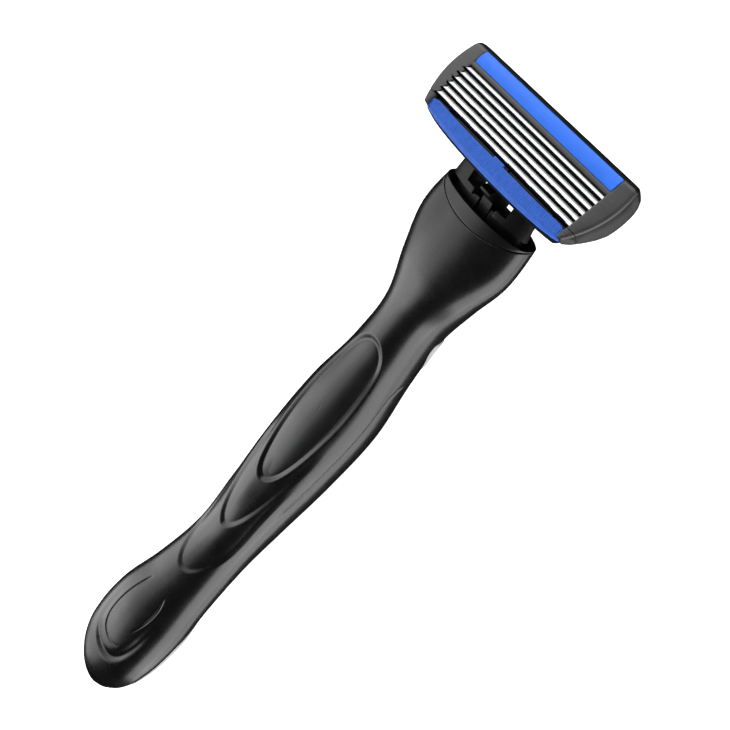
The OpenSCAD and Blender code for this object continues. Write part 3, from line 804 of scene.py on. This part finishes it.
# guard strip with fine fins
xs = np.arange(-17.25, 17.26, 0.42 / 8)
prof = np.array([(0.0, -1.45), (0.0, -1.12), (0.012, -0.97), (0.04, -0.84), (0.08, -0.77), (0.13, -0.75), (0.18, -0.78), (0.21, -0.83),
                 (0.25, -0.74), (0.32, -0.6), (0.38, -0.54), (0.44, -0.49), (0.5, -0.46), (0.56, -0.42), (0.62, -0.38), (0.68, -0.34),
                 (0.74, -0.31), (0.8, -0.28), (0.86, -0.27), (0.92, -0.28), (0.96, -0.32), (0.99, -0.4), (1.0, -0.52), (1.0, -1.42)])
secs = []
for x in xs:
    lo_u = -5.35 - 1.6 * math.sqrt(max(0, 1 - (x / 17.9) ** 2)) + 0.12
    hi_u = -3.78 - 0.2 * (1 - float(step01(9, 16, abs(x)))) - 0.28 * float(step01(15.5, 17.25, abs(x)))
    hi_u += 0.42 * float(step01(-0.85, -0.65, x)) * (1 - float(step01(1.6, 1.8, x)))
    u_ = lo_u + (hi_u - lo_u) * prof[:, 0]
    fin = 0.5 - 0.5 * math.cos(2 * math.pi * x / 0.42)
    on = step01(0.22, 0.27, prof[:, 0]) * (1 - step01(0.93, 0.98, prof[:, 0]))
    line = 0.5 - 0.5 * np.cos(2 * np.pi * prof[:, 0] * 9)
    n_ = prof[:, 1] - on * (0.07 * fin**2 + 0.03 * line)
    close = float(step01(16.8, 17.25, abs(x)))
    n_ = np.where(prof[:, 1] > -1.4, n_ - 0.25 * close, n_)
    secs.append(face(x, u_, n_))
guard = build("guard_strip_skin", [loft(secs)], "cartridge", [M["guard"]], angle=60)
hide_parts("guard_strip")

# blades: the honed facet and the flat behind it, the flat in a darker copy of the blade steel as painted shade
BLADE = [(0.0, 0.0), (0.015, 0.006), (0.3, 0.012), (0.51, 0.014), (0.525, 0.007), (0.87, 0.003),
         (0.9, -0.012), (0.9, -0.11), (0.88, -0.12), (0.3, -0.12), (0.02, -0.012)]
for i in range(1, 7):
    a = np.array(BLADE)
    e = EDGE + (i - 1) * PITCH
    u_ = e + a[:, 0] * math.cos(TILT) + a[:, 1] * math.sin(TILT)
    n_ = -a[:, 0] * math.sin(TILT) + a[:, 1] * math.cos(TILT)
    secs = [face(x, u_, n_) for x in np.linspace(-17.28, 17.28, 40)]
    lim_u = e + 0.52 * math.cos(TILT)
    bl = build("blade_skin_%d" % i, [loft(secs)], "cartridge", [M["blade"], M["flat"]],
               lambda c, lu=lim_u: 0 if to_face(c)[1] < lu else 1, angle=20)
    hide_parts("blade_%d" % i)

# blade carriers drawn black and deep, so that they fill the slots between the blades with painted shade
for i in range(1, 7):
    e = EDGE + (i - 1) * PITCH
    prof_s = [(0.85, -0.66), (0.95, -0.5), (1.12, -0.17), (1.185, -0.1), (1.192, -0.14), (1.192, -4.05), (1.12, -4.1), (0.9, -4.1), (0.85, -4.05)]
    if i == 6:
        prof_s = [(0.84, -0.55), (1.02, -0.55), (1.02, -4.1), (0.84, -4.1)]
    sup = build("blade_support_skin_%d" % i, [loft(span([(e + a_, b_) for a_, b_ in prof_s], np.linspace(-17.29, 17.29, 12)))],
                "cartridge", [M["support"]], angle=20)
    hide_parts("blade_support_%d" % i)
# black bars that fill the gap between the guard and the first blade: painted shade
bars = [loft(span([(-3.5, -1.0), (-3.46, -0.94), (-3.3, -0.7), (-3.12, -0.2), (-3.065, -0.14), (-3.06, -2.6), (-3.5, -2.6)], np.linspace(-17.28, 17.28, 12)))]
for x0, x1 in ((-17.28, -13.3), (-11.0, 2.6), (3.0, 13.6), (14.2, 17.28)):
    bars.append(loft(span([(-4.1, -0.9), (-4.05, -0.84), (-3.55, -0.82), (-3.51, -0.86), (-3.51, -2.6), (-4.1, -2.6)], np.linspace(x0, x1, 6))))
bar = build("guard_gap_shade_skin", bars, "cartridge", [M["mech"]], angle=30)

for n, wd in (("connector_yoke", 0.12), ("plunger", 0.1),
              ("mechanism_chassis", 0.08), ("ejector_fork", 0.08), ("release_button", 0.12),
              ("lubricating_strip", 0.12)):
    soften(n, wd)

# ------------------------------------------------------------------ stage, light and camera
def emission(name, color, strength):
    m = bpy.data.materials.new(name)
    m.use_nodes = True
    nt = m.node_tree
    nt.nodes.remove(nt.nodes["Principled BSDF"])
    e = nt.nodes.new("ShaderNodeEmission")
    e.inputs["Color"].default_value = (*color, 1)
    e.inputs["Strength"].default_value = strength
    nt.links.new(e.outputs["Emission"], nt.nodes["Material Output"].inputs["Surface"])
    return m


me = bpy.data.meshes.new("stage_floor")
bm = bmesh.new()
bmesh.ops.create_grid(bm, x_segments=2, y_segments=2, size=3.0)
bm.to_mesh(me)
bm.free()
floor_o = bpy.data.objects.new("stage_floor", me)
floor_o.location = (0, 0, -0.0002)
bpy.context.scene.collection.objects.link(floor_o)
fm = bpy.data.materials.new("stage_pale")
fm.use_nodes = True
fb = fm.node_tree.nodes["Principled BSDF"]
fb.inputs["Base Color"].default_value = (0.9, 0.9, 0.9, 1)
fb.inputs["Roughness"].default_value = 0.9
fb.inputs["Specular IOR Level"].default_value = 0.0
fb.inputs["Emission Color"].default_value = (1, 1, 1, 1)
fb.inputs["Emission Strength"].default_value = 0.8
me.materials.append(fm)
floor_o.visible_glossy = False
floor_o.visible_shadow = False

CENTRE = Vector((0.0, 0.0, 0.011))


def softbox(name, direction, dist, size_x, size_y, radiance, up=(0, 1, 0)):
    """An area light facing the object; radiance is what it shows in a mirror."""
    d = Vector(direction).normalized()
    l = bpy.data.lights.new(name, "AREA")
    l.shape = "RECTANGLE"
    l.size, l.size_y = size_x, size_y
    l.energy = radiance * math.pi * size_x * size_y
    o = bpy.data.objects.new(name, l)
    o.location = CENTRE + d * dist
    z = d
    x = Vector(up).cross(z).normalized()
    y = z.cross(x)
    o.matrix_world = Matrix((( x.x, y.x, z.x, o.location.x), (x.y, y.y, z.y, o.location.y),
                             (x.z, y.z, z.z, o.location.z), (0, 0, 0, 1)))
    bpy.context.scene.collection.objects.link(o)
    return o


def side(elevation, y, sign):
    e = math.radians(elevation)
    return (sign * math.cos(e), y, math.sin(e))


softbox("soft_left", side(27, -0.1, -1), 0.7, 0.62, 1.3, 1.65)
softbox("soft_left_high", side(56, -0.1, -1), 0.7, 0.22, 1.3, 1.75)
softbox("soft_right", side(14, -0.2, 1), 0.7, 0.62, 1.3, 4.4)
softbox("soft_right_low", side(-28, -0.2, 1), 0.7, 0.42, 1.3, 3.0)
softbox("soft_tail", (-0.64, -0.68, 0.36), 0.8, 0.6, 0.6, 1.9, up=(0, 0, 1))
softbox("soft_back", (-0.47, 0.80, 0.40), 0.7, 0.7, 0.4, 4.2, up=(0, 0, 1))

w = bpy.data.worlds.new("studio")
bpy.context.scene.world = w
w.use_nodes = True
w.node_tree.nodes["Background"].inputs["Color"].default_value = (1, 1, 1, 1)
w.node_tree.nodes["Background"].inputs["Strength"].default_value = 0.8
# the pale room shows behind the object, and only the softboxes light it
w.cycles_visibility.diffuse = False
w.cycles_visibility.glossy = False
w.cycles_visibility.transmission = False
w.cycles_visibility.scatter = False

cam = bpy.data.cameras.new("camera")
cam.lens = 50
cam.sensor_width = 36
cam.clip_start, cam.clip_end = 0.01, 20
co = bpy.data.objects.new("camera", cam)
bpy.context.scene.collection.objects.link(co)
cx, cy, cz = Vector((0.5299, 0.6373, -0.5596)), Vector((-0.7016, 0.7001, 0.1330)), Vector((0.4765, 0.3221, 0.8181))
co.matrix_world = Matrix(((cx.x, cy.x, cz.x, 0.08630), (cx.y, cy.y, cz.y, 0.07725),
                          (cx.z, cy.z, cz.z, 0.158775), (0, 0, 0, 1)))
bpy.context.scene.camera = co
bpy.context.scene.view_settings.view_transform = "Standard"
bpy.context.scene.view_settings.look = "None"
